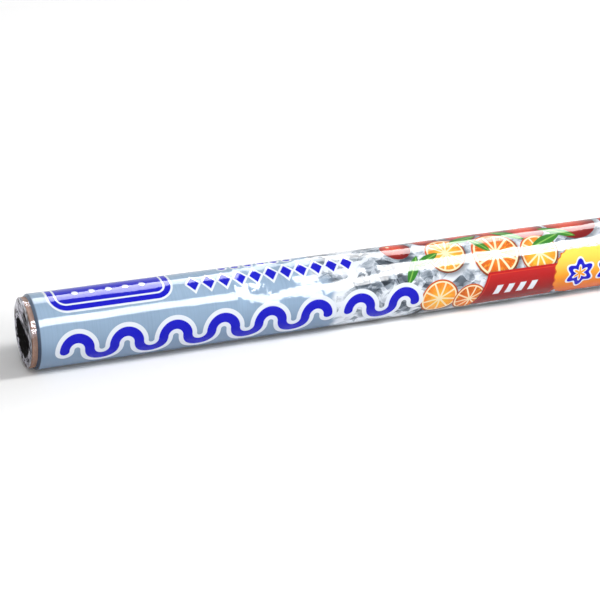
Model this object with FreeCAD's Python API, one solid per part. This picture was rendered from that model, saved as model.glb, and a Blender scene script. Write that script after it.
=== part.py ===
import FreeCAD, Part
import math
import os
from FreeCAD import Vector

# A roll of household aluminium foil in its printed film wrap, lying on its side.
# The roll runs along X, its print faces -Y and it rests on Z = 0. The origin is under the middle of the roll.
# All sizes are in millimetres. Film of 0.03 is drawn 0.15 thick and foil of 0.009 has an edge of 0.1, to give
# them walls and steps that can be seen.

# Core: a spiral wound kraft board tube that stands out of the foil at both ends
core_radius = 13.9
core_wall = 1.5
core_overhang = 3.3
core_edge_chamfer = 0.2

# Winding: ten metres of thin foil, drawn as one solid whose ends show bands of turns
foil_width = 285.0
foil_build = 0.95
tail_step = 0.1
turn_bands = 5
turn_drift = 0.35
drift_turn = 2.4
tail_angle = 150.0

# Wrap: one printed film, shrunk over the shoulders and gathered into the mouths of the core
film_thickness = 0.15
shoulder_length = 1.2
shoulder_bend = 0.3
lip_length = 0.5
lip_thickness = 0.4
bead_reach = 0.25
bead_steps = 6
seam_width = 10.0
seam_angle = 195.0
flat_width = 5.0

# Gathers: the pleated film inside each mouth
tuck_depth = 15.0
tuck_start_in_lip = 0.2
throat_squeeze = 2.0
throat_depth = 1.4
throat_relief = 0.5
fold_count = 17
fold_height = 1.3
fold_growth = 1.8
fold_unevenness = 0.3
fold_spread_turn = 2.7
fold_height_turn = 1.9
lobe_count = 3
lobe_height = 0.45
sag_height = 1.3
sag_growth = 1.4
sag_focus = 3
fold_twist = 0.25
fold_phases = {"left": 0.4, "right": 2.1}
sag_angles = {"left": 80.0, "right": 140.0}
tuck_levels = 8
level_crowding = 2.2

# Worked out from the sizes above
core_bore_radius = core_radius - core_wall
foil_radius = core_radius + foil_build
body_radius = foil_radius + film_thickness
neck_radius = core_radius + film_thickness
lip_radius = core_bore_radius - lip_thickness
foil_end = foil_width / 2
shoulder_end = foil_end + shoulder_bend
core_end = foil_end + core_overhang
lip_end = core_end - lip_length
axis_height = math.sqrt(body_radius**2 - (flat_width / 2) ** 2)
reach = core_end + body_radius


def on_roll(x, radius, angle=90.0):
    # a point at a place along the roll, a distance from its axis and an angle from the front, over the top
    turn = math.radians(angle)
    return Vector(x, -radius * math.cos(turn), axis_height + radius * math.sin(turn))


def cylinder(radius, half_length):
    return Part.makeCylinder(radius, 2 * half_length, on_roll(-half_length, 0), Vector(1, 0, 0))


def above(level):
    side = 4 * reach
    return Part.makeBox(side, side, side, Vector(-side / 2, -side / 2, level))


def line(start, end):
    return Part.LineSegment(on_roll(*start), on_roll(*end)).toShape()


def arc(start, middle, end):
    return Part.Arc(on_roll(*start), on_roll(*middle), on_roll(*end)).toShape()


def chain(points):
    return [line(a, b) for a, b in zip(points, points[1:])]


def shoulder_points(x, high, low):
    # start, middle and end of the rounded edge, then the foot of the cone down to the core
    drop = math.atan((high - low) / shoulder_length)
    radius = shoulder_bend / math.tan(drop / 2)
    start = (x - shoulder_bend, high)
    middle = (start[0] + radius * math.sin(drop / 2), high - radius * (1 - math.cos(drop / 2)))
    end = (x + shoulder_bend * math.cos(drop), high - shoulder_bend * math.sin(drop))
    return start, middle, end, (x + shoulder_length, low)


def bead_points():
    # the film drawn over the core's rim, in a few straight steps round half of a flat ellipse
    radius = (neck_radius - lip_radius) / 2
    turns = [math.pi * number / bead_steps for number in range(bead_steps + 1)]
    return [(core_end + bead_reach * math.sin(turn), lip_radius + radius + radius * math.cos(turn)) for turn in turns]


def both_ends(half_profile):
    # mirrors the right half of an open profile and closes it along the axis, then turns it about the axis
    mirrored = [edge.mirror(Vector(0, 0, 0), Vector(1, 0, 0)) for edge in half_profile]
    edges = Part.sortEdges(half_profile + mirrored)[0]
    wire = Part.Wire(edges)
    ends = [vertex.Point for vertex in wire.OrderedVertexes]
    closing = Part.LineSegment(ends[0], ends[-1]).toShape()
    face = Part.Face(Part.Wire(edges + [closing]))
    solid = face.revolve(on_roll(0, 0), Vector(1, 0, 0), 360)
    return Part.makeSolid(solid) if solid.ShapeType == "Shell" else solid


def make_core():
    tube = cylinder(core_radius, core_end).cut(cylinder(core_bore_radius, core_end))
    rims = [e for e in tube.Edges if len(e.Vertexes) == 1 and abs(abs(e.CenterOfMass.x) - core_end) < 0.01]
    return tube.makeChamfer(core_edge_chamfer, rims)


def make_winding():
    # the outline is a spiral of two half circles, which leaves the step of the foil's free edge
    small = foil_radius - tail_step
    large = foil_radius - tail_step / 2
    shift = tail_step / 2
    bottom = Part.makeCylinder(small, foil_width, on_roll(-foil_end, 0), Vector(1, 0, 0))
    top = Part.makeCylinder(large, foil_width, on_roll(-foil_end, 0) + Vector(0, shift, 0), Vector(1, 0, 0))
    upper = above(axis_height)
    roll = bottom.cut(upper).fuse(top.common(upper)).removeSplitter()
    roll.rotate(on_roll(0, 0), Vector(1, 0, 0), tail_angle)
    roll = roll.common(above(film_thickness))
    # bands of turns that have drifted sideways leave fine steps in the two end faces
    band = foil_build / turn_bands
    for side in (-1, 1):
        for number in range(turn_bands):
            drift = turn_drift * (0.5 + 0.5 * math.sin(drift_turn * number + side))
            inner = core_radius + band * number
            outer = inner + band + (tail_step if number == turn_bands - 1 else 0)
            start = on_roll(side * (foil_end - drift), 0)
            along = Vector(side, 0, 0)
            ring = Part.makeCylinder(outer, 2 * turn_drift, start, along)
            roll = roll.cut(ring.cut(Part.makeCylinder(inner, 2 * turn_drift, start, along)))
    return roll.cut(cylinder(core_radius, reach))


def film_outside():
    start, middle, end, foot = shoulder_points(shoulder_end + film_thickness / 2, body_radius, neck_radius)
    profile = [line((0, body_radius), start), arc(start, middle, end)]
    profile += chain([end, foot] + bead_points() + [(lip_end, lip_radius), (lip_end, 0)])
    return both_ends(profile).common(above(0))


def film_inside():
    # what the film closes in: the foil, the core and the small voids under the shoulders
    start, middle, end, foot = shoulder_points(shoulder_end, foil_radius, core_radius)
    rim = [(core_end, core_radius), (core_end, core_bore_radius)]
    profile = chain([(0, foil_radius), start, end, foot] + rim + [(lip_end, core_bore_radius), (lip_end, 0)])
    return both_ends(profile).common(above(film_thickness))


def film_seam():
    # the film's free edge laps over its start along the back of the roll
    sweep = math.degrees(seam_width / body_radius)
    start = seam_angle + sweep / 2
    inner, outer = body_radius - film_thickness / 2, body_radius + film_thickness
    corners = [(-foil_end, inner), (foil_end, inner), (foil_end, outer), (-foil_end, outer), (-foil_end, inner)]
    face = Part.Face(Part.makePolygon([on_roll(x, radius, start) for x, radius in corners]))
    return face.revolve(on_roll(0, 0), Vector(1, 0, 0), sweep)


def ease(value):
    # runs smoothly from 0 to 1
    share = min(max(value, 0.0), 1.0)
    return share * share * (3 - 2 * share)


def fold_point(number, depth, end):
    # the crest or the foot of one fold, at a depth behind the lip, as a point across the roll
    phase = fold_phases[end]
    spread = fold_unevenness * ease(depth / fold_growth)
    place = number + spread * math.sin(fold_spread_turn * number + phase)
    theta = math.pi * place / fold_count + fold_twist * depth / tuck_depth
    side = 1 if number % 2 else -1
    uneven = 1 - fold_unevenness * math.sin(fold_height_turn * number + phase)
    height = fold_height * uneven * ease(depth / fold_growth)
    squeeze = throat_squeeze * ease(depth / throat_depth)
    relief = throat_relief * ease((depth - throat_depth) / (tuck_depth - throat_depth))
    lobes = lobe_height * ease(depth / throat_depth) * math.cos(lobe_count * theta + 3 * phase)
    toward_sag = 0.5 + 0.5 * math.cos(theta - math.radians(sag_angles[end]))
    sag = sag_height * ease(depth / sag_growth) * toward_sag**sag_focus
    radius = core_bore_radius - lip_thickness / 2 - squeeze + relief + side * height / 2 + lobes - sag
    return Vector(0, -radius * math.cos(theta), radius * math.sin(theta))


def tuck_section(depth, offset, end):
    # one closed zigzag of the gathered film, set off outwards from its middle by mitred corners
    middle = [fold_point(number, depth, end) for number in range(2 * fold_count)]
    x = (-1 if end == "left" else 1) * (lip_end + tuck_start_in_lip - depth)
    corners = []
    for number, point in enumerate(middle):
        before = Vector(1, 0, 0).cross((point - middle[number - 1]).normalize())
        after = Vector(1, 0, 0).cross((middle[(number + 1) % len(middle)] - point).normalize())
        mitre = (before + after) * (offset / (1 + before.dot(after)))
        corners.append(point + mitre + Vector(x, 0, axis_height))
    return corners


def facets_between(near, far):
    # a ring of flat triangles from one section to the next, as film creases between its folds
    count = len(near)
    corners = []
    for number in range(count):
        after = (number + 1) % count
        corners.append((near[number], near[after], far[number]))
        corners.append((near[after], far[after], far[number]))
    return [Part.Face(Part.makePolygon([a, b, c, a])) for a, b, c in corners]


def make_tuck(end):
    # levels lie closer together near the lip, where the folds form
    depths = [tuck_depth * (number / tuck_levels) ** level_crowding for number in range(tuck_levels + 1)]
    outside = [tuck_section(depth, film_thickness / 2, end) for depth in depths]
    inside = [tuck_section(depth, -film_thickness / 2, end) for depth in depths]
    faces = facets_between(outside[0], inside[0]) + facets_between(outside[-1], inside[-1])
    for wall in (outside, inside):
        for near, far in zip(wall, wall[1:]):
            faces += facets_between(near, far)
    shell = Part.makeShell(faces)
    shell.sewShape()
    solid = Part.makeSolid(shell)
    return solid if solid.Volume > 0 else solid.reversed()


def make_wrap():
    wrap = film_outside().fuse(film_seam()).cut(film_inside())
    wrap = wrap.cut(cylinder(lip_radius, reach))
    wrap = wrap.fuse([make_tuck("left"), make_tuck("right")])
    return wrap.removeSplitter()


def save(name, shape):
    solids = shape.Solids
    shape = solids[0] if len(solids) == 1 else Part.makeCompound(solids)
    print(name, "solids", len(solids), "valid", shape.isValid(), "volume", round(shape.Volume, 2))
    shape.exportStep(os.path.join("parts", name + ".step"))


os.makedirs("parts", exist_ok=True)
save("core", make_core())
save("foil_winding", make_winding())
save("wrap_film", make_wrap())
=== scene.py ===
import math
import bpy
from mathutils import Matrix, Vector, noise


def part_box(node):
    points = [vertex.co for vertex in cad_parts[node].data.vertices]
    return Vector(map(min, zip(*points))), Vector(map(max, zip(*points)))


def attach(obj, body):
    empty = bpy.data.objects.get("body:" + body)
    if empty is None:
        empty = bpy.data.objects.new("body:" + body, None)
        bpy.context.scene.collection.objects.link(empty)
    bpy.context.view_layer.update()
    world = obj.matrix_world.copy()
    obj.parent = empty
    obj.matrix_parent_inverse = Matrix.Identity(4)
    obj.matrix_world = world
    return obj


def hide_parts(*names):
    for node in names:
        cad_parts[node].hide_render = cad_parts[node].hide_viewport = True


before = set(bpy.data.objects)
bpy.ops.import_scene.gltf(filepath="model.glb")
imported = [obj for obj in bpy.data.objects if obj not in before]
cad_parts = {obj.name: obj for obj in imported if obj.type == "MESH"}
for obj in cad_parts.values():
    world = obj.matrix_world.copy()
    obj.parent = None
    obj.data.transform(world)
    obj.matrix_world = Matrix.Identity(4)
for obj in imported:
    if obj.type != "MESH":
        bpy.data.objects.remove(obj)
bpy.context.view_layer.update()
print("frame loaded")

coreLow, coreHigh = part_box("core")
mm = 0.001
roll = {
    "axisHeight": (coreLow.z + coreHigh.z) / 2,
    "coreRadius": (coreHigh.z - coreLow.z) / 2,
    "coreEnd": coreHigh.x,
    "coreBore": 12.4 * mm,
    "labelHalf": 142.5 * mm,  # half the printed foil's width
    "bodyRadius": 15.0 * mm,
    "film": 0.15 * mm,
    "shoulderTop": 142.575 * mm,  # where the body starts to round over
    "shoulderFoot": 143.8 * mm,
    "seamAngle": 195.0,  # degrees from the front, over the top
    "seamWidth": 10.0 * mm,
}
neckRadius = roll["coreRadius"] + roll["film"]


def ink(red, green, blue):  # a colour of 0 to 255, as light
    shares = [value / 255 for value in (red, green, blue)]
    linear = [s / 12.92 if s <= 0.04045 else ((s + 0.055) / 1.055) ** 2.4 for s in shares]
    return (*linear, 1.0)


def ease(value):
    share = min(max(value, 0.0), 1.0)
    return share * share * (3 - 2 * share)


def place(x, angle, radius):
    turn = math.radians(angle)
    return Vector((x, -radius * math.cos(turn), roll["axisHeight"] + radius * math.sin(turn)))


# Materials

class Wire:  # a socket that can be reckoned with
    def __init__(self, paint, socket):
        self.paint, self.socket = paint, socket

    def reckon(self, operation, *others):
        values = {number: value for number, value in enumerate((self,) + others)}
        return self.paint.node("ShaderNodeMath", {"operation": operation}, values)

    def __add__(self, other):
        return self.reckon("ADD", other)

    def __mul__(self, other):
        return self.reckon("MULTIPLY", other)

    def __sub__(self, other):
        return self.reckon("SUBTRACT", other)

    def __truediv__(self, other):
        return self.reckon("DIVIDE", other)

    def __pow__(self, other):
        return self.reckon("POWER", other)

    def __rsub__(self, other):
        return self.paint.node("ShaderNodeMath", {"operation": "SUBTRACT"}, {0: other, 1: self})

    def __abs__(self):
        return self.reckon("ABSOLUTE")

    def least(self, other):
        return self.reckon("MINIMUM", other)

    def most(self, other):
        return self.reckon("MAXIMUM", other)

    def wrapped(self, half):
        return self.reckon("WRAP", half, -half)

    __radd__ = __add__
    __rmul__ = __mul__


class Paint:  # one material, or the world, and its nodes
    def __init__(self, name, kind="Material"):
        self.owner = (bpy.data.worlds if kind == "World" else bpy.data.materials).new(name)
        self.owner.use_nodes = True
        self.tree = self.owner.node_tree
        self.tree.nodes.clear()
        self.output = self.tree.nodes.new("ShaderNodeOutput" + kind)

    def node(self, kind, settings=None, sockets=None, out=0):
        made = self.tree.nodes.new(kind)
        for key, value in (settings or {}).items():
            if key == "stops":
                self.setStops(made.color_ramp, value)
            else:
                setattr(made, key, value)
        for key, value in (sockets or {}).items():
            if isinstance(value, Wire):
                self.tree.links.new(value.socket, made.inputs[key])
            else:
                made.inputs[key].default_value = value
        return Wire(self, made.outputs[out])

    def setStops(self, ramp, stops):
        while len(ramp.elements) < len(stops):
            ramp.elements.new(0.5)
        for element, (position, colour) in zip(ramp.elements, stops):
            element.position = position
            element.color = colour

    def coordinates(self, kind="Object"):
        whole = self.node("ShaderNodeTexCoord", out=kind)
        split = self.node("ShaderNodeSeparateXYZ", sockets={0: whole})
        return [Wire(self, socket) for socket in split.socket.node.outputs]

    def vector(self, *parts):
        return self.node("ShaderNodeCombineXYZ", sockets=dict(enumerate(parts)))

    def noise(self, vector, scale, detail=2.0, roughness=0.5):
        sockets = {"Vector": vector, "Scale": scale, "Detail": detail, "Roughness": roughness}
        return self.node("ShaderNodeTexNoise", sockets=sockets)

    def voronoi(self, vector, scale, feature="F1", out="Distance"):
        sockets = {"Vector": vector, "Scale": scale}
        return self.node("ShaderNodeTexVoronoi", {"feature": feature}, sockets, out)

    def step(self, value, low, high):  # 0 below low and 1 above high, or the other way round
        sockets = {"Value": value, "From Min": low, "From Max": high}
        return self.node("ShaderNodeMapRange", {"interpolation_type": "SMOOTHSTEP"}, sockets)

    def blend(self, mask, below, above):
        return self.node("ShaderNodeMix", {"data_type": "RGBA"}, {0: mask, 6: below, 7: above}, 2)

    def ramp(self, value, stops):
        return self.node("ShaderNodeValToRGB", {"stops": stops}, {0: value})

    def bump(self, height, strength, distance):
        sockets = {"Height": height, "Strength": strength, "Distance": distance}
        return self.node("ShaderNodeBump", sockets=sockets)

    def finish(self, shader):
        self.tree.links.new(shader.socket, self.output.inputs["Surface"])
        return self.owner

    def surface(self, sockets):
        return self.finish(self.node("ShaderNodeBsdfPrincipled", sockets=sockets))


# Print: flat shapes on the unrolled label, in millimetres along it and up from its front

inks = {
    # the lightest and darkest silvers are the silver with painted light for the top of the roll and
    # painted shade for its bottom
    "silverPaintedLit": ink(156, 182, 208),
    "silver": ink(147, 173, 200),
    "silverPaintedShade": ink(114, 134, 160),
    "silverDark": ink(130, 154, 180),
    "royal": ink(0, 2, 196),
    "white": ink(232, 238, 246),
    "slate": ink(52, 62, 74),
    "red": ink(190, 22, 24),
    "redDark": ink(122, 10, 14),
    "tomato": ink(226, 62, 30),
    "orange": ink(240, 128, 36),
    "orangeDeep": ink(206, 88, 20),
    "brown": ink(120, 52, 18),
    "yellow": ink(255, 206, 62),
    "cream": ink(250, 232, 190),
    "leaf": ink(52, 128, 40),
    "leafLight": ink(132, 190, 84),
}
label = {
    "sheetLength": 300.0,  # the UV map's width in millimetres
    "sheetStart": 7.5,
    "uvStart": -184.3,  # the angle at the UV map's lower edge, beside the lap at the back
    "edge": 0.06,  # half the softness of a printed edge
    "tab": {"middle": (30.5, 27.0), "half": (24.5, 15.2), "corner": 6.5, "line": (2.3, 3.1)},
    "wave": {"height": -4.6, "radius": 5.0, "blue": 1.95, "white": 3.8,
             "runs": [(9.0, 11), (128.0, 3)]},  # where each run starts, and its number of half circles
    "lozenges": {"first": 64.0, "count": 11, "pitch": 6.6, "height": 16.4, "half": (2.5, 3.4),
                 "outline": 0.9},
    "dots": {"first": 79.0, "count": 6, "pitch": 5.6, "height": 25.0, "radius": 1.5, "outline": 0.8},
    "band": {"middle": (208.0, -5.2), "half": (19.0, 8.6), "slant": 0.35},
    "badge": {"middle": (241.0, -2.6), "half": (17.0, 11.4), "corner": 9.0, "rosettes": (236.0, 251.0)},
    "crumple": {"start": (128.0, 136.0), "low": (-22.0, -17.0), "high": (38.0, 33.0),
                "facets": [(1.0, 0.36), (2.3, 0.24), (0.45, 0.2)]},  # scale and share of each size
}
garden = {  # fruits as place along, place up and radius, and leaves with angle, length and width
    "berries": [(154.0, 21.0, 6.5), (169.0, 26.5, 6.0), (186.0, 27.0, 7.5), (201.0, 27.0, 8.0),
                (216.0, 23.5, 8.5), (238.0, 25.0, 12.0), (264.0, 22.0, 11.5)],
    "wheels": [(217.0, 9.0, 9.0, 10, "yellow", "orange"), (174.5, 14.5, 9.0, 10, "yellow", "orange"),
               (197.0, 11.5, 11.0, 11, "orange", "orangeDeep"),
               (169.5, -5.2, 8.6, 9, "yellow", "orange"),
               (184.0, -8.0, 7.6, 9, "orange", "orangeDeep")],  # with a number of segments and two inks
    "leaves": [(158, 9, 62, 14, 4.4), (165, 12.5, 24, 13, 4.0), (206, 21, -36, 16, 4.4),
               (222, 14.5, 20, 18, 4.8), (229, 18.5, -28, 17, 4.6), (185, 21.5, 14, 15, 4.2),
               (191, 17, -50, 12, 3.6), (262, 12, 48, 17, 5.0), (271, 7, 8, 15, 4.6)],
}


class Print:  # lays shapes over each other on the label's colour
    def __init__(self, paint):
        self.paint = paint
        across, up = paint.coordinates("UV")[:2]
        self.x = across * label["sheetLength"] - label["sheetStart"]
        degrees = up * 360 + label["uvStart"]
        self.s = degrees * math.radians(roll["bodyRadius"] / mm)
        self.sheet = paint.vector(self.x, self.s, 0.0)
        self.colour = None

    def lay(self, distance, colour, grow=0.0, opacity=1.0):
        edge = label["edge"]
        mask = self.paint.step(distance, grow + edge, grow - edge)
        self.colour = self.paint.blend(mask * opacity if opacity != 1.0 else mask, self.colour, colour)

    def disc(self, x, s, radius):
        return ((self.x - x) ** 2 + (self.s - s) ** 2) ** 0.5 - radius

    def turned(self, x, s, angle):
        cosine, sine = math.cos(math.radians(angle)), math.sin(math.radians(angle))
        dx, ds = self.x - x, self.s - s
        return dx * cosine + ds * sine, ds * cosine - dx * sine

    def panel(self, x, s, half, corner, angle=0.0):
        along, up = self.turned(x, s, angle)
        qx, qs = abs(along) - (half[0] - corner), abs(up) - (half[1] - corner)
        outside = (qx.most(0.0) ** 2 + qs.most(0.0) ** 2) ** 0.5
        return outside + qx.most(qs).least(0.0) - corner

    def leaf(self, x, s, angle, length, width):
        along, up = self.turned(x, s, angle)
        radius = (length * length + width * width) / (4 * width)
        blade = (along * along + (abs(up) + (radius - width / 2)) ** 2) ** 0.5 - radius
        self.lay(blade, inks["leaf"])
        self.lay((abs(up) - width * 0.06).most(blade + width * 0.1), inks["leafLight"])

    def repeat(self, row):  # the way along from the middle of the nearest of a row's motifs
        return (self.x - row["first"]).wrapped(row["pitch"] / 2)

    def beyond(self, row):  # above 0 past the two ends of a row
        half = row["pitch"] * row["count"] / 2
        return abs(self.x - (row["first"] - row["pitch"] / 2 + half)) - half

    def outlined(self, distance, colour, outline):
        self.lay(distance, inks["white"], outline)
        self.lay(distance, colour)


def printFoilWithShade(page):  # silver with painted shade, lighter towards the top of the roll and darker towards the bottom, and drawn crumpled foil on the right of the front
    paint, crumple = page.paint, label["crumple"]
    # painted light and shade: the silver is lighter towards the top of the roll and darker towards the
    # bottom, as light falls on it
    lean = (page.s * (mm / roll["bodyRadius"])).reckon("SINE") * 0.5 + 0.5
    silvers = [(0.0, inks["silverPaintedShade"]), (0.5, inks["silver"]), (0.9, inks["silverPaintedLit"])]
    shadedSilver = paint.ramp(lean, silvers)
    drift = paint.noise(page.sheet, 0.04, 2.0)
    fine = paint.noise(paint.vector(page.x * 1.3, page.s * 0.02, 0.0), 1.0, 2.0)
    shade = paint.step(drift, 0.35, 0.65) * 0.3 + paint.step(fine, 0.4, 0.7) * 0.25
    page.colour = paint.blend(shade, shadedSilver, inks["silverDark"])
    warp = paint.noise(page.sheet, 0.11, 1.0)
    along = page.x * 0.12 + page.s * 0.07 + warp * 0.8
    bent = paint.vector(along, page.s * 0.2 - page.x * 0.05 + warp, 0.0)
    grey = 0.0
    for scale, share in crumple["facets"]:  # flat facets, each with its own tone
        facets = paint.voronoi(bent, scale, out="Color")
        grey = paint.node("ShaderNodeSeparateColor", sockets={0: facets}) * share + grey
    grey = grey + paint.voronoi(bent, 1.0) * 0.3 + paint.noise(bent, 1.3, 3.0) * 0.5 - 0.2
    crumpled = paint.ramp(grey, [(0.22, ink(40, 47, 56)), (0.42, ink(98, 109, 121)),
                                 (0.58, ink(160, 171, 183)), (0.74, inks["white"])])
    glints = paint.step(abs(paint.noise(bent, 1.9, 2.0) - 0.5), 0.02, 0.0) * paint.step(grey, 0.35, 0.7)
    crumpled = paint.blend(glints * 0.8, crumpled, inks["white"])
    start = paint.step(page.x + warp * 22.0 + page.s * 0.2, *crumple["start"])
    edge = page.s + warp * 6.0
    front = paint.step(edge, *crumple["low"]) * paint.step(edge, *crumple["high"])
    page.colour = paint.blend(start * front, page.colour, crumpled)


def shadeUnder(page, distance, softness):  # the printed shade that a motif throws on the foil
    mask = page.paint.step(distance, softness, -softness)
    page.colour = page.paint.blend(mask * 0.7, page.colour, inks["slate"])


def printWheel(page, x, s, radius, flesh, deep, segments):  # a cut round fruit with its segments
    paint = page.paint
    rim = page.disc(x, s, radius)
    shadeUnder(page, page.disc(x + 0.1 * radius, s - 0.16 * radius, radius), 0.16 * radius)
    dx, ds = page.x - x, page.s - s
    light = paint.step(ds - dx * 0.5, -radius, radius)
    page.lay(rim, paint.blend(light, inks["brown"], inks["orangeDeep"]))
    page.lay(rim, inks["cream"], -0.08 * radius)
    turn = dx.reckon("ARCTAN2", ds)
    half = math.pi / segments
    off = abs(turn.wrapped(half))
    across = (rim + radius) * (half - off) * 0.9
    segment = (rim + 0.16 * radius).most(radius * 0.04 - across).most(radius * 0.07 - (rim + radius))
    pulp = paint.blend(paint.step(rim, -radius, -0.1 * radius) * 0.75 + light * 0.25, flesh, deep)
    page.lay(segment, pulp)
    grain = paint.noise(paint.vector(turn * 9.0, rim * 0.4, 0.0), 1.0)
    page.lay(segment, inks["yellow"], -0.02 * radius, paint.step(grain, 0.5, 0.72) * 0.6)
    page.lay(segment, inks["brown"], -0.02 * radius, paint.step(grain, 0.42, 0.28) * 0.35)


def printBerry(page, x, s, radius):  # a whole round fruit with a soft light on it
    paint = page.paint
    edge = page.disc(x, s, radius)
    shadeUnder(page, page.disc(x + 0.1 * radius, s - 0.16 * radius, radius), 0.16 * radius)
    page.lay(edge, inks["redDark"])
    glow = paint.step(page.disc(x - radius * 0.15, s + radius * 0.2, 0.0), radius * 1.15, radius * 0.2)
    page.lay(edge, inks["tomato"], 0.0, glow)
    sheen = paint.noise(page.sheet, 0.5, 3.0)
    page.lay(edge, inks["orange"], 0.0, paint.step(sheen, 0.52, 0.7) * glow * 0.6)
    page.lay(page.disc(x - radius * 0.35, s + radius * 0.4, radius * 0.12), inks["cream"])


def printGarden(page):  # fruits and leaves on the right of the label
    for x, s, radius in garden["berries"]:
        printBerry(page, x, s, radius)
    for x, s, radius, segments, flesh, deep in garden["wheels"]:
        printWheel(page, x, s, radius, inks[flesh], inks[deep], segments)
    for x, s, angle, length, width in garden["leaves"]:
        page.leaf(x, s, angle, length, width)


def printBands(page):  # a slanted red band, and a yellow badge with a wavy edge over its end
    paint = page.paint
    band, badge = label["band"], label["badge"]
    half, high = band["half"]
    along, up = page.x - band["middle"][0], page.s - band["middle"][1]
    slant = along - up * band["slant"]
    ribbon = (abs(slant) - half).most(abs(up) - high)
    shadeUnder(page, ribbon, 0.9)
    page.lay(ribbon, paint.blend(paint.step(up, -high, high), inks["redDark"], inks["red"]))
    page.lay((ribbon + 0.9).most(-1.0 * ribbon - 1.3), inks["tomato"], 0.0, 0.6)
    for offset in (-11.0, -5.5, 0.0, 5.5):
        page.lay((abs(slant - offset) - 1.4).most(abs(up) - 2.3), inks["white"])
    panel = page.panel(*badge["middle"], badge["half"], badge["corner"])
    dx, ds = page.x - badge["middle"][0], page.s - badge["middle"][1]
    wavy = panel - (dx * 1.5).reckon("COSINE") * (ds * 1.5).reckon("COSINE") * 0.45
    page.lay(wavy, inks["orangeDeep"], 0.5)
    golds = [(0.0, ink(214, 100, 30)), (0.5, ink(246, 160, 36)), (1.0, ink(255, 222, 90))]
    page.lay(wavy, paint.ramp(paint.step(ds, -11.5, 11.0), golds))
    for x in badge["rosettes"]:
        dx = page.x - x
        reach = (dx * dx + ds * ds) ** 0.5
        petals = abs(reach - 4.2 - (dx.reckon("ARCTAN2", ds) * 6.0).reckon("COSINE") * 1.1) - 1.3
        page.outlined(petals, inks["royal"], 0.9)


def printTab(page):  # the plain blue panel near the left end
    tab = label["tab"]
    panel = page.panel(*tab["middle"], tab["half"], tab["corner"])
    page.outlined(panel, inks["royal"], 0.9)
    inner, outer = tab["line"]
    page.lay((panel + inner).most(-1.0 * panel - outer), inks["white"])
    row = (page.x - tab["middle"][0]).wrapped(3.4)
    dots = (row * row + (page.s - 20.5) ** 2) ** 0.5 - 1.25
    page.lay(dots.most(abs(page.x - tab["middle"][0]) - 17.0), inks["white"])


def printWave(page):  # blue half circles in a row, joined to one ribbon with round ends
    wave = label["wave"]
    radius, height, up = wave["radius"], wave["height"], page.s - wave["height"]
    upper = up.reckon("GREATER_THAN", 0.0)
    for start, arches in wave["runs"]:
        half = radius * arches
        along = (page.x - (start + radius) - (1 - upper) * (2 * radius)).wrapped(2 * radius)
        arc = abs((along * along + up * up) ** 0.5 - radius) - wave["blue"]
        beyond = abs(page.x - (start + half)) - (half - radius) - upper * (2 * radius)
        first, last = [page.disc(end, height, wave["blue"]) for end in (start, start + 2 * half)]
        caps = first.least(last)
        ribbon = arc.most(beyond * 10.0).least(caps)
        page.outlined(ribbon, inks["royal"], wave["white"] - wave["blue"])


def printRows(page):  # a row of small lozenges, and one of dots above it
    row = label["lozenges"]
    along, up = page.repeat(row), page.s - row["height"]
    wide, high = row["half"]
    lozenge = (abs(along) / wide + abs(up) / high - 1) * (wide * high / math.hypot(wide, high))
    page.outlined(lozenge.most(page.beyond(row) + row["outline"]), inks["royal"], row["outline"])
    row = label["dots"]
    along, up = page.repeat(row), page.s - row["height"]
    dot = (along * along + up * up) ** 0.5 - row["radius"]
    page.outlined(dot.most(page.beyond(row) + row["outline"]), inks["royal"], row["outline"])


def shadeShoulders(page):  # the film drawn down to the core, with painted shade: dark towards the bottom, lighter towards the top, and darker in its puckers
    paint = page.paint
    past = abs(page.x - 142.5) - 142.5
    puckers = paint.noise(paint.vector(page.x * 0.3, page.s * 3.0, 0.0), 1.0, 2.0)
    # painted shade and light on the shoulders, dark below and light above, and darker still in the
    # puckers
    shade = paint.blend(paint.step(page.s, -12.0, 26.0), ink(42, 56, 80), ink(134, 156, 184))
    shade = paint.blend(paint.step(puckers, 0.45, 0.65) * 0.4, shade, ink(24, 33, 48))
    page.colour = paint.blend(paint.step(past, 0.0, 0.35), page.colour, shade)


slackFilm = {  # where the printed film bridges loosely, in the label's millimetres
    "start": (80.0, 86.0),
    "end": (160.0, 112.0),
    "middle": 13.0,
    "half": 10.5,
    "curve": 0.0118,  # the height it gains off its middle, for each square millimetre
}


def printedFilm():
    paint = Paint("printedFilm")
    page = Print(paint)
    for lay in (printFoilWithShade, printGarden, printBands, printTab, printWave, printRows, shadeShoulders):
        lay(page)
    slack = paint.step(page.x, *slackFilm["start"]) * paint.step(page.x, *slackFilm["end"])
    near = paint.step(page.x, 2.0, 30.0)
    slow = paint.noise(paint.vector(page.x * 0.05, page.s * 0.13, 0.0), 1.0, 1.0)
    sway = paint.noise(paint.vector(page.x * 0.09, 3.0, 0.0), 1.0, 1.5) - 0.5
    folds = abs(paint.noise(paint.vector(page.x * 0.13, page.s * 0.22, 7.0), 1.0, 2.0) - 0.5)
    half = sway * 4.0 + slackFilm["half"]
    bridge = abs(page.s - slackFilm["middle"] - sway * 9.0).least(half)
    ripple = slow * (near * 0.14 + slack * 0.16) - folds * (near * 0.06 + slack * 0.14)
    ripple = ripple + (bridge * bridge - half * half) * slack * slackFilm["curve"]
    return paint.surface({
        "Base Color": page.colour,
        "Roughness": 0.06,
        "IOR": 1.31,
        "Normal": paint.bump(ripple, 1.0, mm),
    })


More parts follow.
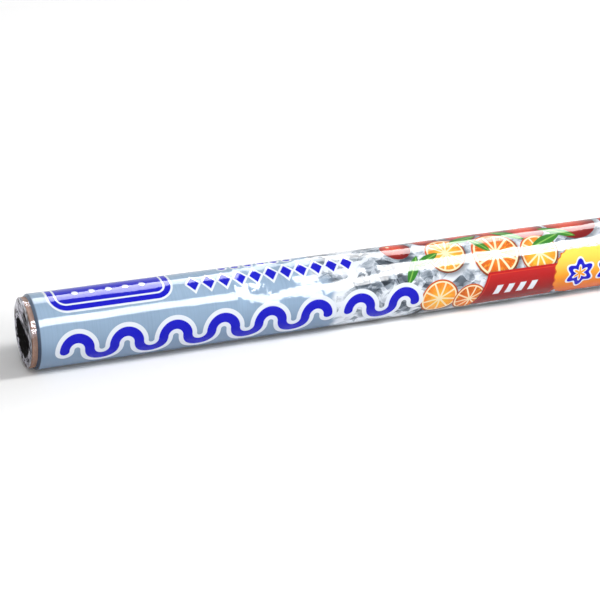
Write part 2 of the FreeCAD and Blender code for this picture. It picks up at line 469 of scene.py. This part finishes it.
def clearFilm():  # reads the film's own map: around the mouth, and from the neck over the rim and in
    paint = Paint("clearFilm")
    rimStart, edge = filmMarks()
    across, around = paint.coordinates("UV")[:2]
    x, y, z = paint.coordinates()
    path = across * mouth["mapLength"]
    turn = around * (2 * math.pi)
    ring = paint.vector(turn.reckon("COSINE") * 12.0, turn.reckon("SINE") * 12.0, path * 0.55)
    wrinkle = paint.noise(ring, 2.2, 3.0, 0.7)
    cells = paint.voronoi(ring, 0.8, "DISTANCE_TO_EDGE")
    creased = paint.step(cells + (wrinkle - 0.5) * 0.12, 0.09, 0.0) * paint.step(path, 0.2, 1.4)
    near, high = y * (-1 / mm), (z - roll["axisHeight"]) * (1 / mm)
    pulled = paint.vector(near * 0.36 + high * 0.45, near * 0.16 - high * 0.13, path * 0.2)
    streak = paint.noise(pulled, 1.0, 3.0, 0.62)
    # near-white lines: painted glints along the film's creases
    line = paint.step(abs(paint.noise(pulled, 1.7, 2.0) - 0.5), 0.045, 0.0)
    covered = path + paint.step(near, 12.5, 3.0)  # away from the front the film turns dull sooner
    rim = paint.step(covered, rimStart - 0.35, rimStart + 0.1)
    inside = paint.step(path + (wrinkle - 0.5) * 1.2, edge - 0.1, edge + 0.35)
    leftEnd = x.reckon("LESS_THAN", 0.0)
    slit = mouth["left"]["slit"]
    slope = math.radians(slit["angle"])
    off = abs((near * near + high * high) ** 0.5 - slit["radius"] + (wrinkle - 0.5) * 1.5)
    run = abs(near * math.sin(slope) - high * math.cos(slope))
    window = paint.step(off, slit["width"], slit["width"] * 0.6)
    window = window * paint.step(run, slit["half"], slit["half"] - 1.2) * leftEnd * (1 - line * 0.4)
    degrees = around * 360.0 + label["uvStart"]
    bunch = paint.step(abs(degrees - mouth["bunchAngle"]), 8.0, 4.0) * paint.step(wrinkle, 0.46, 0.56)
    bunch = bunch * leftEnd * paint.step(path, 0.1, 0.5) * (1 - rim)
    # painted light: streaks of near-white glints and dark shade in the film's colour and opacity stand
    # in for the crumpled film's reflections
    mottled = rim * (0.1 + paint.step(streak, 0.42, 0.54) * 0.7)
    alpha = (0.015 + creased * 0.035 + bunch * 0.25 + mottled).most(line * rim * 0.9)
    paintedGlintGreys = [(0.4, ink(44, 42, 50)), (0.48, ink(118, 116, 128)), (0.54, ink(172, 170, 184)),
             (0.62, ink(236, 234, 244))]
    tone = paint.blend(line * 0.8, paint.ramp(streak, paintedGlintGreys), ink(240, 238, 246))
    relief = (wrinkle + creased * 0.5) * (0.05 + bunch * 0.15 + rim * 0.8)
    return paint.surface({
        "Base Color": paint.blend(rim, ink(224, 222, 230), tone),
        "Metallic": 0.9,
        "Roughness": 0.1,
        "Alpha": alpha * (1 - window) * (1 - inside * 0.995),
        "Normal": paint.bump(relief, 0.6, 0.25 * mm),
    })


def kraftBoard():
    paint = Paint("kraftBoard")
    x, y, z = paint.coordinates()
    height = z - roll["axisHeight"]
    turn = y.reckon("ARCTAN2", height) * (0.5 / math.pi)
    helix = x * (1 / board["plyPitch"]) + turn + board["plyStart"]
    seam = abs(helix.wrapped(0.5))
    fibres = paint.noise(paint.vector(x * 260.0, turn * 90.0, 0.0), 1.0, 4.0, 0.6)
    patches = paint.noise(paint.vector(x, y, z), 160.0, 2.0)
    colour = paint.blend(paint.step(patches, 0.35, 0.65), ink(140, 102, 83), ink(158, 118, 95))
    colour = paint.blend(paint.step(fibres, 0.45, 0.75) * 0.4, colour, ink(108, 77, 60))
    colour = paint.blend(paint.step(seam, 0.012, 0.004), colour, ink(84, 58, 44))
    # painted shade: the bore's wall is coloured near black, for the deep shade inside the core
    reach = (y * y + height * height) ** 0.5
    bore = roll["coreBore"]
    inside = paint.step(reach, bore + 0.7 * mm, bore + 0.1 * mm)
    colour = paint.blend(inside, colour, ink(9, 6, 5))
    return paint.surface({
        "Base Color": colour,
        "Roughness": 0.85,
        "Normal": paint.bump(fibres, 0.4, 0.1 * mm),
    })


def bareFoil():
    paint = Paint("bareFoil")
    x, y, z = paint.coordinates()
    rolled = paint.noise(paint.vector(x * 60.0, y * 900.0, z * 900.0), 1.0, 3.0)
    return paint.surface({
        "Base Color": ink(214, 217, 222),
        "Metallic": 1.0,
        "Roughness": paint.step(rolled, 0.2, 0.8) * 0.15 + 0.2,
        "Normal": paint.bump(rolled, 0.2, 0.05 * mm),
    })


# Modelling

def deselectAll():
    if bpy.context.mode != "OBJECT":
        bpy.ops.object.mode_set(mode="OBJECT")
    bpy.ops.object.select_all(action="DESELECT")


def drawTube(name, stations, vertices):  # a ring, extruded along the roll and resized at each station
    deselectAll()
    x, radius = stations[0]
    bpy.ops.mesh.primitive_circle_add(vertices=vertices, radius=radius, calc_uvs=False,
                                      location=(x, 0, roll["axisHeight"]), rotation=(0, math.pi / 2, 0))
    piece = bpy.context.object
    piece.name = name
    bpy.ops.object.mode_set(mode="EDIT")
    bpy.ops.mesh.select_all(action="SELECT")
    for nextX, nextRadius in stations[1:]:
        bpy.ops.mesh.extrude_region_move(TRANSFORM_OT_translate={"value": (nextX - x, 0, 0)})
        share = nextRadius / radius
        if abs(share - 1) > 1e-7:
            middle = (nextX, 0, roll["axisHeight"])
            bpy.ops.transform.resize(value=(1, share, share), center_override=middle)
        x, radius = nextX, nextRadius
    bpy.ops.object.mode_set(mode="OBJECT")
    bpy.ops.object.transform_apply(location=True, rotation=True, scale=True)
    return piece


def faceOutward(piece):
    deselectAll()
    bpy.context.view_layer.objects.active = piece
    piece.select_set(True)
    bpy.ops.object.mode_set(mode="EDIT")
    bpy.ops.mesh.select_all(action="SELECT")
    bpy.ops.mesh.remove_doubles(threshold=1e-6)
    bpy.ops.mesh.normals_make_consistent(inside=False)
    bpy.ops.object.mode_set(mode="OBJECT")


def reshape(piece, rule):  # moves each point by a rule on its place, its angle and its radius
    for vertex in piece.data.vertices:
        x, y, z = vertex.co
        z -= roll["axisHeight"]
        vertex.co = place(*rule(x, math.degrees(math.atan2(z, -y)), math.hypot(y, z)))


def thicken(piece, thickness):
    modifier = piece.modifiers.new("wall", "SOLIDIFY")
    modifier.thickness = thickness
    modifier.offset = -1.0
    bpy.context.view_layer.objects.active = piece
    bpy.ops.object.modifier_apply(modifier=modifier.name)


def smooth(piece, angle=40.0):
    deselectAll()
    bpy.context.view_layer.objects.active = piece
    piece.select_set(True)
    bpy.ops.object.shade_smooth_by_angle(angle=math.radians(angle))


def dress(piece, material, slot, *nodes):
    piece.data.materials.clear()
    piece.data.materials.append(material)
    if nodes:
        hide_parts(*nodes)
    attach(piece, "root")


def alongLabel(piece):
    def across(index):
        x = (piece.data.vertices[index].co.x + roll["labelHalf"]) / mm
        return (x + label["sheetStart"]) / label["sheetLength"]
    return across


def unroll(piece, across):  # a UV map of the flat film, cut along the seam at the back
    layer = piece.data.uv_layers.new(name="label")
    vertices = piece.data.vertices
    for face in piece.data.polygons:
        middle = face.center
        middleAngle = math.degrees(math.atan2(middle.z - roll["axisHeight"], -middle.y))
        middleAngle = (middleAngle - label["uvStart"]) % 360 + label["uvStart"]
        for loop in face.loop_indices:
            index = piece.data.loops[loop].vertex_index
            x, y, z = vertices[index].co
            angle = math.degrees(math.atan2(z - roll["axisHeight"], -y))
            angle += 360 * round((middleAngle - angle) / 360)
            layer.data[loop].uv = (across(index), (angle - label["uvStart"]) / 360)


wrap = {
    "vertices": 240,
    "rings": 180,
    "ripple": 0.05 * mm,
    "rippleLength": 21 * mm,
    "pucker": 0.035 * mm,
    "wall": 0.07 * mm,
    "slim": 0.06 * mm,  # keeps the ripples within the film's true size
    "shoulder": [(143.8, 14.05), (143.64, 14.22), (143.46, 14.42), (143.28, 14.62), (143.1, 14.8),
                 (142.98, 14.9), (142.8, 14.97)],  # places along and radii, from the neck up
}


def wrapRule(x, angle, radius):
    turn = math.radians(angle)
    around = Vector((math.cos(turn), math.sin(turn), 0)) * 1.1
    inland = ease((roll["shoulderTop"] - abs(x)) / (9 * mm))
    ripple = noise.noise(Vector((x / wrap["rippleLength"], around.x * 2.2, around.y * 2.2)))
    ripple += 0.4 * noise.noise(Vector((x / (8 * mm) + 7, around.x * 4, around.y * 4)))
    radius += (wrap["ripple"] * ripple - wrap["slim"]) * inland
    edge = ease((abs(x) - roll["shoulderTop"] + 2.5 * mm) / (2.5 * mm))
    pucker = noise.noise(Vector((x / (3 * mm), around.x * 14, around.y * 14)))
    foot = ease((abs(x) - roll["shoulderFoot"] + 0.6 * mm) / (0.5 * mm))
    radius += wrap["pucker"] * pucker * edge * (1 - foot)
    return x, angle, radius


def layOnFloor(piece, height=0.0):  # the flat spot that soft turns settle to
    for vertex in piece.data.vertices:
        vertex.co.z = max(vertex.co.z, height)


def makeWrap():
    shoulder = [(x * mm, radius * mm) for x, radius in wrap["shoulder"]]
    body, rings = roll["shoulderTop"], wrap["rings"]
    stations = [(-x, radius) for x, radius in shoulder]
    stations += [(-body + 2 * body * number / rings, roll["bodyRadius"]) for number in range(rings + 1)]
    stations += reversed(shoulder)
    piece = drawTube("printedWrap", stations, wrap["vertices"])
    reshape(piece, wrapRule)
    layOnFloor(piece)
    faceOutward(piece)
    unroll(piece, alongLabel(piece))
    thicken(piece, wrap["wall"])
    smooth(piece)
    dress(piece, printedFilm(), "printed_film", "wrap_film")
    print("printed wrap made")


lap = {"rise": 0.13 * mm, "wall": 0.09 * mm, "columns": 12, "rings": 120}


def makeLap():  # the free edge of the film, sealed over its start along the back
    deselectAll()
    half = math.degrees(roll["seamWidth"] / roll["bodyRadius"]) / 2
    bpy.ops.mesh.primitive_grid_add(x_subdivisions=lap["rings"], y_subdivisions=lap["columns"], size=2.0,
                                    calc_uvs=False, location=(0, 0, 0))
    piece = bpy.context.object
    piece.name = "lapSeam"
    bpy.ops.object.mode_set(mode="EDIT")
    bpy.ops.mesh.select_all(action="SELECT")
    bpy.ops.transform.resize(value=(roll["labelHalf"] - 0.2 * mm, 1, 1))
    bpy.ops.object.mode_set(mode="OBJECT")
    for vertex in piece.data.vertices:
        x, across, unused = vertex.co
        angle = roll["seamAngle"] + half * across
        x, angle, radius = wrapRule(x, angle, roll["bodyRadius"] + lap["rise"])
        lift = 0.05 * mm * noise.noise(Vector((x / (16 * mm), across * 0.5, 3.0)))
        vertex.co = place(x, angle, radius + lift * ease((across - 0.6) / 0.4))
    faceOutwardFrom(piece)
    unroll(piece, alongLabel(piece))
    thicken(piece, lap["wall"])
    smooth(piece)
    dress(piece, bpy.data.materials["printedFilm"], "printed_film", "wrap_film")
    print("lap seam made")


def faceOutwardFrom(piece):  # turns an open sheet's faces away from the roll's axis
    piece.data.update()
    axis = Vector((0, 0, roll["axisHeight"]))
    across = Vector((0, 1, 1))
    away = sum((face.normal.dot((face.center - axis) * across) for face in piece.data.polygons), 0.0)
    if away < 0:
        piece.data.flip_normals()


mouth = {
    "vertices": 480,
    "film": 0.03 * mm,
    "reach": 0.1 * mm,  # how far the film stands past the core
    "rim": 13.0 * mm,
    "drawn": 9.5 * mm,  # radius that the film is drawn in to
    "uneven": 2.4 * mm,
    "dip": 0.2 * mm,
    "depth": 15.0 * mm,
    "pleats": 17,
    "steps": {"neck": 6, "rim": 10, "ring": 26, "tuck": 22},
    "mapLength": 25.0,  # the UV map's width in millimetres
    "bunchAngle": 18.0,  # degrees from the front, where the neck's film is bunched at the left end
    "left": {"sign": -1, "phase": 0.4, "open": 190.0, "curtain": 73.0, "line": 1.65 * mm,
             "slit": {"radius": 7.4, "width": 2.7, "half": 5.2, "angle": 50.0}},
    "right": {"sign": 1, "phase": 2.1, "open": 320.0, "curtain": 140.0, "line": 6.5 * mm},
}


def mouthProfile():  # from under the printed film, along the neck, over the rim and down the core
    outer, rim, drawn, end = neckRadius - 0.03 * mm, mouth["rim"], mouth["drawn"], roll["coreEnd"]
    start, steps = roll["shoulderFoot"] - 0.2 * mm, mouth["steps"]
    points = [(start + (end - start) * number / steps["neck"], outer) for number in range(steps["neck"])]
    for number in range(steps["rim"] + 1):
        turn = math.pi / 2 * number / steps["rim"]
        points.append((end + mouth["reach"] * math.sin(turn), rim + (outer - rim) * math.cos(turn)))
    for number in range(1, steps["ring"] + 1):
        share = number / steps["ring"]
        points.append((end + mouth["reach"] - mouth["dip"] * share ** 2.2, rim - (rim - drawn) * share))
    last = points[-1][0]
    for number in range(1, steps["tuck"] + 1):
        points.append((last - (mouth["depth"] - 0.5 * mm) * (number / steps["tuck"]) ** 1.5, drawn))
    return points


def filmMarks():  # how far along the film's own map, in millimetres, the flat ring starts and ends
    lengths = pathLengths(mouthProfile())
    start = mouth["steps"]["neck"] + mouth["steps"]["rim"]
    return lengths[start] / mm, lengths[start + mouth["steps"]["ring"]] / mm


def drawnTo(turn, end):  # the film's inner edge: a narrow ring, and a curtain across one side
    ring = mouth["drawn"] + mouth["uneven"] * math.cos(turn - math.radians(end["open"]))
    facing = max(math.cos(turn - math.radians(end["curtain"])), 0.05)
    return (ring ** -4 + (end["line"] / facing) ** -4) ** -0.25


def gather(point, angle, end):  # how a point of the profile is pulled and crumpled, at one angle
    x, radius = point
    turn, phase = math.radians(angle), end["phase"]
    around = Vector((math.cos(turn), math.sin(turn), phase))
    lip, rim, drawn = roll["coreEnd"] + mouth["reach"], mouth["rim"], mouth["drawn"]
    share = min(max((rim - radius) / (rim - drawn), 0.0), 1.0)
    behind = max(lip - mouth["dip"] - x, 0.0) / mm if share == 1 else 0.0
    if share:
        target = drawnTo(turn, end)
        radius = rim - share * (rim - target) + share * (drawn - target) * ease(behind / 9)
    inward = ease(share * 2.2)
    warp = 1.3 * noise.noise(around * 1.7 + Vector((0, 0, behind / 9)))
    fold = mouth["pleats"] * turn / (2 * math.pi) + warp + 0.02 * behind
    pleat = (abs((fold % 1.0) * 2 - 1) * 2 - 1) * min(radius / drawn, 1.0)
    flat = Vector((radius * math.cos(turn) / mm, radius * math.sin(turn) / mm, phase + behind))
    crumple = noise.noise(flat / 1.7)
    ridge = 1 - 2 * abs(noise.noise(flat / 1.2 + Vector((5, 0, 0))))
    pull = inward * (0.4 * pleat + 0.5 * crumple + 0.2 * ridge)
    lift = inward * (0.25 * crumple + 0.12 * pleat + 0.2 * ridge - 0.25)
    wrinkle = 0.05 * noise.noise(around * 11.0 + Vector((x / (1.6 * mm), 0, 0)))
    wrinkle *= ease((x - roll["shoulderFoot"] - 0.3 * mm) / (0.8 * mm)) * (1 - inward)
    radius = min(radius + (pull + wrinkle - 0.03) * mm, neckRadius)
    return end["sign"] * min(x + lift * mm, lip + 0.1 * mm), angle, radius


def pathLengths(points):
    lengths = [0.0]
    for (x, radius), (nextX, nextRadius) in zip(points, points[1:]):
        lengths.append(lengths[-1] + math.hypot(nextX - x, nextRadius - radius))
    return lengths


def makeEnd(side):
    end = mouth[side]
    profile = mouthProfile()
    stations = [(end["sign"] * x, radius) for x, radius in profile]
    piece = drawTube(side + "ClearFilm", stations, mouth["vertices"])
    lengths = pathLengths(profile)
    across = []
    for vertex in piece.data.vertices:
        x, y, z = vertex.co
        z -= roll["axisHeight"]
        number = vertex.index // mouth["vertices"]
        across.append(lengths[number] / mm / mouth["mapLength"])
        vertex.co = place(*gather(profile[number], math.degrees(math.atan2(z, -y)), end))
    faceOutwardFrom(piece)
    unroll(piece, lambda index: across[index])
    thicken(piece, mouth["film"])
    smooth(piece, 60.0)
    material = bpy.data.materials.get("clearFilm") or clearFilm()
    dress(piece, material, "printed_film", "wrap_film")
    print(side, "clear film made")


board = {
    "vertices": 160,
    "chamfer": 0.2 * mm,
    "ends": 6 * mm,  # the length at each end that has rings of its own
    "rings": (0.06, 0.12),
    "plyPitch": 52 * mm,  # how far the spiral seam runs in one turn
    "plyStart": 0.4,
}


def makeCore():
    outer, bore, end, cut = roll["coreRadius"], roll["coreBore"], roll["coreEnd"], board["chamfer"]
    first, second, third = *board["rings"], end - board["ends"]
    half = [(0.0, outer), (first, outer), (second, outer), (third, outer), (end - cut, outer),
            (end, outer - cut), (end, bore + cut), (end - cut, bore), (third, bore), (second, bore),
            (first, bore)]
    stations = half + [(0.0, bore)] + [(-x, radius) for x, radius in reversed(half[1:])] + [(0.0, outer)]
    piece = drawTube("boardCore", stations, board["vertices"])
    faceOutward(piece)
    smooth(piece, 30.0)
    dress(piece, kraftBoard(), "core_board", "core")
    print("board core made")


# Room, light and camera

room = {
    "floorSize": 8.0,
    "floorColour": (0.9, 0.9, 0.9, 1.0),
    "floorGlow": 0.09,
    "farGlow": 0.3,  # added to the floor away from the roll and its shadow
    "shadowLine": 0.012,
    "shadowEdges": (0.025, 0.1),
    "fill": 0.25,
    "horizon": 1.0,
}


def lightPath(paint, name):
    return paint.node("ShaderNodeLightPath", out=name)


def seenDirectly(paint):
    camera = lightPath(paint, "Is Camera Ray")
    return camera.most(lightPath(paint, "Is Glossy Ray")).most(lightPath(paint, "Is Transmission Ray"))


def makeFloor():
    deselectAll()
    bpy.ops.mesh.primitive_plane_add(size=room["floorSize"], location=(0, 0, 0))
    floor = bpy.context.object
    floor.name = "studioFloor"
    paint = Paint("paleFloor")
    diffuse = paint.node("ShaderNodeBsdfDiffuse", sockets={"Color": room["floorColour"]})
    aside = abs(paint.coordinates()[1] - room["shadowLine"])
    strength = paint.step(aside, *room["shadowEdges"]) * room["farGlow"] + room["floorGlow"]
    glow = paint.node("ShaderNodeEmission", sockets={"Strength": seenDirectly(paint) * strength})
    both = paint.node("ShaderNodeAddShader", sockets={0: diffuse, 1: glow})
    floor.data.materials.append(paint.finish(both))


def makeWorld():
    paint = Paint("paleStudio", "World")
    strength = seenDirectly(paint) * (room["horizon"] - room["fill"]) + room["fill"]
    sockets = {"Strength": strength, "Color": (1, 1, 1, 1)}
    background = paint.node("ShaderNodeBackground", sockets=sockets)
    bpy.context.scene.world = paint.finish(background)


lamps = {  # the strips show only in the gloss, and the boxes give the even light
    "frontStrip": {"centre": (0.2, -0.945, 0.9), "size": (0.66, 0.5), "light": 35.0, "gloss": True},
    "rightStrip": {"centre": (0.95, -0.65, 1.14), "size": (0.95, 0.75), "light": 46.0, "gloss": True},
    "topStrip": {"centre": (0.55, 0.72, 1.15), "size": (1.25, 0.62), "light": 14.0, "gloss": True},
    "frontBox": {"centre": (-0.2, -1.0, 1.1), "size": (0.8, 0.8), "light": 2.7, "gloss": False},
    "endBox": {"centre": (1.25, -0.42, 0.7), "size": (0.3, 0.3), "light": 88.0, "gloss": False},
    "skyBox": {"centre": (0.2, 0.0, 1.6), "size": (1.8, 1.4), "light": 0.4, "gloss": False},
}


def makeLamps():
    for name, lamp in lamps.items():
        centre, (width, height) = Vector(lamp["centre"]), lamp["size"]
        data = bpy.data.lights.new(name, "AREA")
        data.shape = "RECTANGLE"
        data.size, data.size_y = width, height
        data.energy = lamp["light"] * width * height * math.pi
        light = bpy.data.objects.new(name, data)
        bpy.context.scene.collection.objects.link(light)
        light.location = centre
        light.rotation_euler = (-centre).to_track_quat("-Z", "Y").to_euler()
        if lamp["gloss"]:  # level along the roll, and facing its axis
            light.rotation_euler = (math.atan2(-centre.y, centre.z), 0, 0)
        light.visible_diffuse, light.visible_glossy = not lamp["gloss"], lamp["gloss"]


shot = {
    "place": (-0.30234, -0.65915, 0.27313),
    "turn": 22.458,  # degrees from +Y towards +X
    "tilt": 20.098,  # degrees below level
    "lens": 111.05,
    "sensor": 36.0,
}


def makeCamera():
    data = bpy.data.cameras.new("shopCamera")
    data.lens, data.sensor_width = shot["lens"], shot["sensor"]
    data.sensor_fit = "HORIZONTAL"
    camera = bpy.data.objects.new("shopCamera", data)
    bpy.context.scene.collection.objects.link(camera)
    camera.location = shot["place"]
    camera.rotation_euler = (math.radians(90 - shot["tilt"]), 0, -math.radians(shot["turn"]))
    bpy.context.scene.camera = camera


makeCamera()
makeWrap()
makeLap()
makeEnd("left")
makeEnd("right")
makeCore()
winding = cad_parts["foil_winding"]
winding.data.materials.clear()
winding.data.materials.append(bareFoil())
makeFloor()
makeWorld()
makeLamps()
bpy.context.scene.view_settings.view_transform = "Standard"
print("light, floor and camera set")
